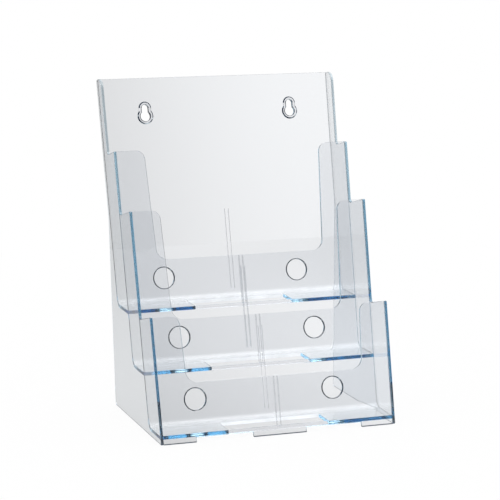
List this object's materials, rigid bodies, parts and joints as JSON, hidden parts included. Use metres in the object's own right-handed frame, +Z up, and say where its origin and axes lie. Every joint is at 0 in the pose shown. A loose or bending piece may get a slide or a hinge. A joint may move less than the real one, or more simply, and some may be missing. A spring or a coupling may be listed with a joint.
{
  "type": "magazine rack",
  "caption": "Clear tiered countertop magazine rack with stepped side walls, reclined panels, level pocket floors, finger cutouts and keyholes for hanging.",
  "frame": {"origin": "on the table, under the middle of the rack's overall width and depth", "axes": "+X to the right seen from the front, +Y to the back, +Z up; the pockets face -Y"},
  "size_m": [0.245, 0.2001, 0.3229],
  "materials": {
    "clear_plastic": "polished, clear with a faint blue tint"
  },
  "bodies": {
    "root": {"left_side_wall": "clear_plastic", "right_side_wall": "clear_plastic", "back_panel": "clear_plastic", "middle_panel": "clear_plastic", "low_panel": "clear_plastic", "front_panel": "clear_plastic", "rear_pocket_back_guide": "clear_plastic", "rear_pocket_front_guide": "clear_plastic", "middle_pocket_back_guide": "clear_plastic", "middle_pocket_front_guide": "clear_plastic", "front_pocket_back_guide": "clear_plastic", "front_pocket_front_guide": "clear_plastic", "left_keyhole_rim": "clear_plastic", "right_keyhole_rim": "clear_plastic"}
  },
  "joints": []
}
